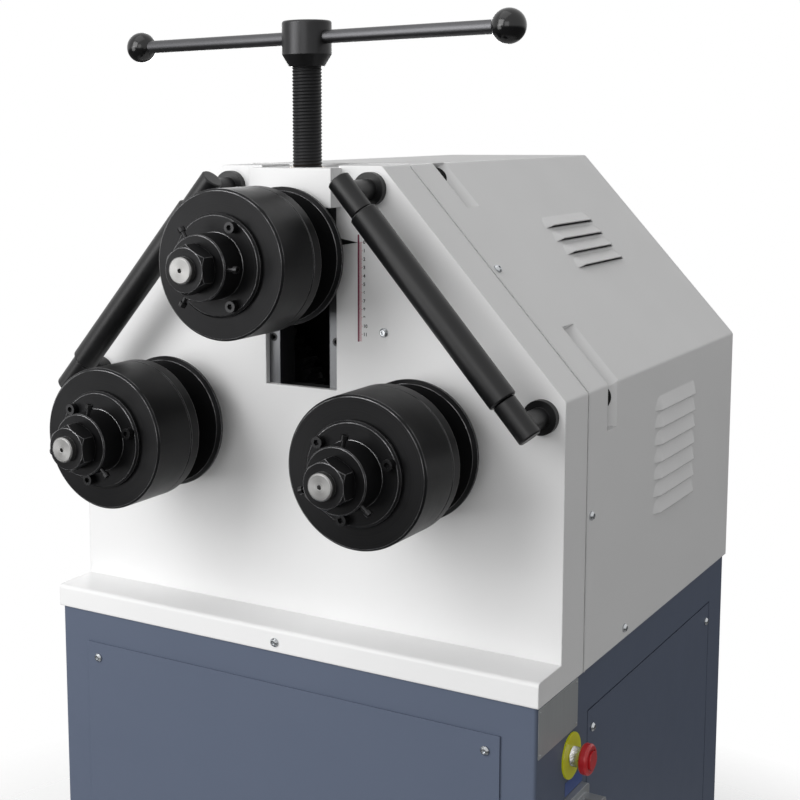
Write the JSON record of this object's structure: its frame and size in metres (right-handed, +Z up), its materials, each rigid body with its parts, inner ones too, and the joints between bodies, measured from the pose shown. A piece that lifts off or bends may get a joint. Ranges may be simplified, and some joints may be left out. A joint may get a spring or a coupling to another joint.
{
  "type": "angle roll bender",
  "caption": "Floor-standing section bender: stacked rolls on a white gear head, hand screw with T handle, diagonal guide rollers, blue-grey sheet cabinet.",
  "frame": {"origin": "middle of the cabinet's floor face", "axes": "+Z up, +X to the operator's right when facing the rolls, -Y towards the operator"},
  "size_m": [0.725, 0.885, 1.402],
  "materials": {
    "white_paint": "glossy white powder coat on folded sheet",
    "blue_grey_paint": "satin blue-grey powder coat on sheet steel",
    "frame_steel": "milled and ground machine steel",
    "turned_steel": "bright turned steel",
    "black_oxide": "satin black oxide on turned tool steel",
    "satin_black": "satin black finish on round steel",
    "gloss_black": "gloss black moulded balls",
    "zinc": "zinc-plated button-head screws",
    "dark_screws": "blackened socket screws",
    "bronze": "bronze nut",
    "cast_caps": "turned cast iron",
    "cast_alloy": "die-cast alloy, unpainted",
    "motor_paint": "grey machine paint",
    "estop_yellow": "yellow legend disc with a bright neck",
    "estop_red": "red mushroom head"
  },
  "bodies": {
    "machine": {"cabinet": "blue_grey_paint", "front_panel": "blue_grey_paint", "side_panels": "blue_grey_paint", "front_plate": "frame_steel", "rear_plate": "frame_steel", "tie_bars": "frame_steel", "front_cover": "white_paint", "hood": "white_paint", "casing_screws": "zinc", "bridge": "white_paint", "lead_nut": "bronze", "slide_rails": "frame_steel", "rail_screws": "dark_screws", "bearing_caps": "cast_caps", "shaft_bearings": "turned_steel", "guide_arms_left": "satin_black", "guide_arms_right": "satin_black", "guide_axles": "turned_steel", "estop_body": "estop_yellow", "pedal_socket": "cast_alloy", "gearbox": "cast_alloy", "motor": "motor_paint", "control_box": "motor_paint"},
    "left_roll": {"left_shaft": "turned_steel", "left_flange": "black_oxide", "left_core": "black_oxide", "left_rear_ring": "black_oxide", "left_front_ring": "black_oxide", "left_hub": "black_oxide", "left_hub_screws": "dark_screws", "left_nut": "black_oxide", "left_gear": "frame_steel"},
    "right_roll": {"right_shaft": "turned_steel", "right_flange": "black_oxide", "right_core": "black_oxide", "right_rear_ring": "black_oxide", "right_front_ring": "black_oxide", "right_hub": "black_oxide", "right_hub_screws": "dark_screws", "right_nut": "black_oxide", "right_gear": "frame_steel"},
    "drive_pinion": {"pinion": "frame_steel"},
    "slide": {"carriage": "frame_steel", "pointer": "satin_black", "carriage_bearings": "turned_steel"},
    "top_roll": {"top_shaft": "turned_steel", "top_flange": "black_oxide", "top_core": "black_oxide", "top_rear_ring": "black_oxide", "top_front_ring": "black_oxide", "top_hub": "black_oxide", "top_hub_screws": "dark_screws", "top_nut": "black_oxide"},
    "hand_screw": {"lead_screw": "black_oxide", "handle_hub": "satin_black", "handle_bar": "satin_black", "ball_knobs": "gloss_black"},
    "left_guide": {"guide_roller_left": "satin_black"},
    "right_guide": {"guide_roller_right": "satin_black"},
    "stop_button": {"estop_head": "estop_red"}
  },
  "joints": [
    {"name": "left_roll_spin", "type": "hinge", "parent": "machine", "child": "left_roll", "pos_m": [-0.175, -0.387, 0.906], "axis": [0, 1, 0], "continuous": true},
    {"name": "right_roll_spin", "type": "hinge", "parent": "machine", "child": "right_roll", "pos_m": [0.175, -0.387, 0.906], "axis": [0, 1, 0], "continuous": true},
    {"name": "pinion_spin", "type": "hinge", "parent": "machine", "child": "drive_pinion", "pos_m": [0, -0.15, 0.847], "axis": [0, 1, 0], "continuous": true},
    {"name": "carriage_slide", "type": "slide", "parent": "machine", "child": "slide", "axis": [0, 0, 1], "range_m": [-0.10205, 0]},
    {"name": "top_roll_spin", "type": "hinge", "parent": "slide", "child": "top_roll", "pos_m": [0, -0.387, 1.123], "axis": [0, 1, 0], "continuous": true},
    {"name": "screw_turn", "type": "hinge", "parent": "slide", "child": "hand_screw", "pos_m": [0, -0.269, 1.3], "axis": [0, 0, 1], "range_deg": [-9180, 0]},
    {"name": "left_guide_spin", "type": "hinge", "parent": "machine", "child": "left_guide", "pos_m": [-0.208, -0.345, 1.078], "axis": [-0.6572, 0, -0.7537], "continuous": true},
    {"name": "right_guide_spin", "type": "hinge", "parent": "machine", "child": "right_guide", "pos_m": [0.208, -0.345, 1.078], "axis": [0.6572, 0, -0.7537], "continuous": true},
    {"name": "stop_press", "type": "slide", "parent": "machine", "child": "stop_button", "axis": [-1, 0, 0], "range_m": [0, 0.005]}
  ],
  "couplings": [
    {"joint": "right_roll_spin", "follows": "left_roll_spin", "ratio": 1},
    {"joint": "pinion_spin", "follows": "left_roll_spin", "ratio": -1.8462},
    {"joint": "carriage_slide", "follows": "screw_turn", "m_per_rad": 0.00063662}
  ]
}
